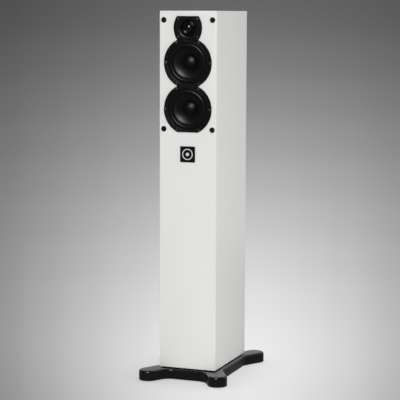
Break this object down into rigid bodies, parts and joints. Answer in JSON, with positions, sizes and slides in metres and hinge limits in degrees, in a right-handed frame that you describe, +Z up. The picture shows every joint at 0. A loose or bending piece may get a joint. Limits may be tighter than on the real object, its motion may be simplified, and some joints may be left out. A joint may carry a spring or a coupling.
{
  "type": "floorstanding speaker",
  "caption": "Slim floorstanding loudspeaker: tall white cabinet with dome tweeter and cone woofers stacked at the top, on a black plinth with outrigger arms.",
  "frame": {"origin": "on the floor under the middle of the cabinet and plinth", "axes": "+Z up, -Y towards the listener (the driver side), +X to the right seen from the front"},
  "size_m": [0.2726, 0.3936, 1.083],
  "materials": {
    "cabinet_lacquer": "satin white lacquer over fibreboard",
    "raw_fibreboard": "bare fibreboard",
    "plinth_black": "gloss black lacquer over fibreboard",
    "driver_frame_black": "black satin powder coat on cast alloy",
    "rubber_black": "matt moulded rubber",
    "cone_black": "semi-gloss moulded polymer",
    "dome_cloth": "coated cloth",
    "spider_cloth": "resin-treated cloth",
    "copper_winding": "enamelled copper wire",
    "ferrite": "sintered ferrite",
    "plated_steel": "zinc-plated steel",
    "moulded_plastic": "fine-textured moulding",
    "badge_black": null,
    "gold_plate": "polished gold plate",
    "post_red": "clear-coated insulator",
    "post_black": "clear-coated insulator",
    "circuit_board": "solder mask",
    "capacitor_film": "wrapped film",
    "cable_sheath": "satin sheath",
    "wadding": "loose fibre"
  },
  "bodies": {
    "root": {"front_baffle": "cabinet_lacquer", "side_panel_left": "cabinet_lacquer", "side_panel_right": "cabinet_lacquer", "top_panel": "cabinet_lacquer", "rear_panel": "cabinet_lacquer", "bottom_panel": "cabinet_lacquer", "brace_lower": "raw_fibreboard", "brace_upper": "raw_fibreboard", "plinth_base": "plinth_black", "grille_socket_upper_left": "moulded_plastic", "grille_socket_upper_right": "moulded_plastic", "grille_socket_lower_left": "moulded_plastic", "grille_socket_lower_right": "moulded_plastic", "badge_plate": "badge_black", "tweeter_faceplate": "driver_frame_black", "tweeter_magnet": "ferrite", "tweeter_yoke": "plated_steel", "tweeter_rear_cup": "moulded_plastic", "woofer_upper_frame": "driver_frame_black", "woofer_upper_surround": "rubber_black", "woofer_upper_spider": "spider_cloth", "woofer_upper_top_plate": "plated_steel", "woofer_upper_magnet": "ferrite", "woofer_upper_yoke": "plated_steel", "woofer_lower_frame": "driver_frame_black", "woofer_lower_surround": "rubber_black", "woofer_lower_spider": "spider_cloth", "woofer_lower_top_plate": "plated_steel", "woofer_lower_magnet": "ferrite", "woofer_lower_yoke": "plated_steel", "port_tube": "moulded_plastic", "terminal_plate": "moulded_plastic", "post_stem_red": "gold_plate", "post_stem_black": "gold_plate", "crossover_board": "circuit_board", "inductor_woofer": "copper_winding", "inductor_tweeter": "copper_winding", "crossover_capacitor": "capacitor_film", "wiring_loom": "cable_sheath", "wadding_block": "wadding"},
    "woofer_upper_moving": {"woofer_upper_cone": "cone_black", "woofer_upper_dust_cap": "cone_black", "woofer_upper_voice_coil": "copper_winding"},
    "woofer_lower_moving": {"woofer_lower_cone": "cone_black", "woofer_lower_dust_cap": "cone_black", "woofer_lower_voice_coil": "copper_winding"},
    "tweeter_moving": {"tweeter_diaphragm": "dome_cloth", "tweeter_voice_coil": "copper_winding"},
    "washer_red": {"post_washer_red": "gold_plate"},
    "knob_red": {"post_knob_red": "post_red"},
    "washer_black": {"post_washer_black": "gold_plate"},
    "knob_black": {"post_knob_black": "post_black"},
    "foot_front_left": {"foot_pad_front_left": "rubber_black"},
    "stud_front_left": {"foot_stud_front_left": "plated_steel"},
    "foot_front_right": {"foot_pad_front_right": "rubber_black"},
    "stud_front_right": {"foot_stud_front_right": "plated_steel"},
    "foot_rear_left": {"foot_pad_rear_left": "rubber_black"},
    "stud_rear_left": {"foot_stud_rear_left": "plated_steel"},
    "foot_rear_right": {"foot_pad_rear_right": "rubber_black"},
    "stud_rear_right": {"foot_stud_rear_right": "plated_steel"}
  },
  "joints": [
    {"name": "woofer_upper_stroke", "type": "slide", "parent": "root", "child": "woofer_upper_moving", "axis": [0, -1, 0], "range_m": [-0.005, 0.005], "stiffness_N_per_m": 1100, "deforming": ["woofer_upper_surround", "woofer_upper_spider"]},
    {"name": "woofer_lower_stroke", "type": "slide", "parent": "root", "child": "woofer_lower_moving", "axis": [0, -1, 0], "range_m": [-0.005, 0.005], "stiffness_N_per_m": 1100, "deforming": ["woofer_lower_surround", "woofer_lower_spider"]},
    {"name": "tweeter_stroke", "type": "slide", "parent": "root", "child": "tweeter_moving", "axis": [0, -1, 0], "range_m": [-0.0004, 0.0004], "stiffness_N_per_m": 900},
    {"name": "washer_red_travel", "type": "slide", "parent": "root", "child": "washer_red", "axis": [0, 1, 0], "range_m": [0, 0.005]},
    {"name": "knob_red_turn", "type": "hinge", "parent": "washer_red", "child": "knob_red", "pos_m": [-0.00953, 0.15, 0.18], "axis": [0, 1, 0], "range_deg": [0, 1800]},
    {"name": "washer_black_travel", "type": "slide", "parent": "root", "child": "washer_black", "axis": [0, 1, 0], "range_m": [0, 0.005]},
    {"name": "knob_black_turn", "type": "hinge", "parent": "washer_black", "child": "knob_black", "pos_m": [0.00953, 0.15, 0.18], "axis": [0, 1, 0], "range_deg": [0, 1800]},
    {"name": "foot_front_left_travel", "type": "slide", "parent": "root", "child": "foot_front_left", "axis": [0, 0, -1], "range_m": [0, 0.01]},
    {"name": "stud_front_left_turn", "type": "hinge", "parent": "foot_front_left", "child": "stud_front_left", "pos_m": [-0.108, -0.1685, 0.015], "axis": [0, 0, -1], "range_deg": [0, 2880]},
    {"name": "foot_front_right_travel", "type": "slide", "parent": "root", "child": "foot_front_right", "axis": [0, 0, -1], "range_m": [0, 0.01]},
    {"name": "stud_front_right_turn", "type": "hinge", "parent": "foot_front_right", "child": "stud_front_right", "pos_m": [0.108, -0.1685, 0.015], "axis": [0, 0, -1], "range_deg": [0, 2880]},
    {"name": "foot_rear_left_travel", "type": "slide", "parent": "root", "child": "foot_rear_left", "axis": [0, 0, -1], "range_m": [0, 0.01]},
    {"name": "stud_rear_left_turn", "type": "hinge", "parent": "foot_rear_left", "child": "stud_rear_left", "pos_m": [-0.108, 0.1685, 0.015], "axis": [0, 0, -1], "range_deg": [0, 2880]},
    {"name": "foot_rear_right_travel", "type": "slide", "parent": "root", "child": "foot_rear_right", "axis": [0, 0, -1], "range_m": [0, 0.01]},
    {"name": "stud_rear_right_turn", "type": "hinge", "parent": "foot_rear_right", "child": "stud_rear_right", "pos_m": [0.108, 0.1685, 0.015], "axis": [0, 0, -1], "range_deg": [0, 2880]}
  ],
  "couplings": [
    {"joint": "knob_red_turn", "follows": "washer_red_travel", "rad_per_m": 6283.2},
    {"joint": "knob_black_turn", "follows": "washer_black_travel", "rad_per_m": 6283.2},
    {"joint": "stud_front_left_turn", "follows": "foot_front_left_travel", "rad_per_m": 5026.5},
    {"joint": "stud_front_right_turn", "follows": "foot_front_right_travel", "rad_per_m": 5026.5},
    {"joint": "stud_rear_left_turn", "follows": "foot_rear_left_travel", "rad_per_m": 5026.5},
    {"joint": "stud_rear_right_turn", "follows": "foot_rear_right_travel", "rad_per_m": 5026.5}
  ]
}
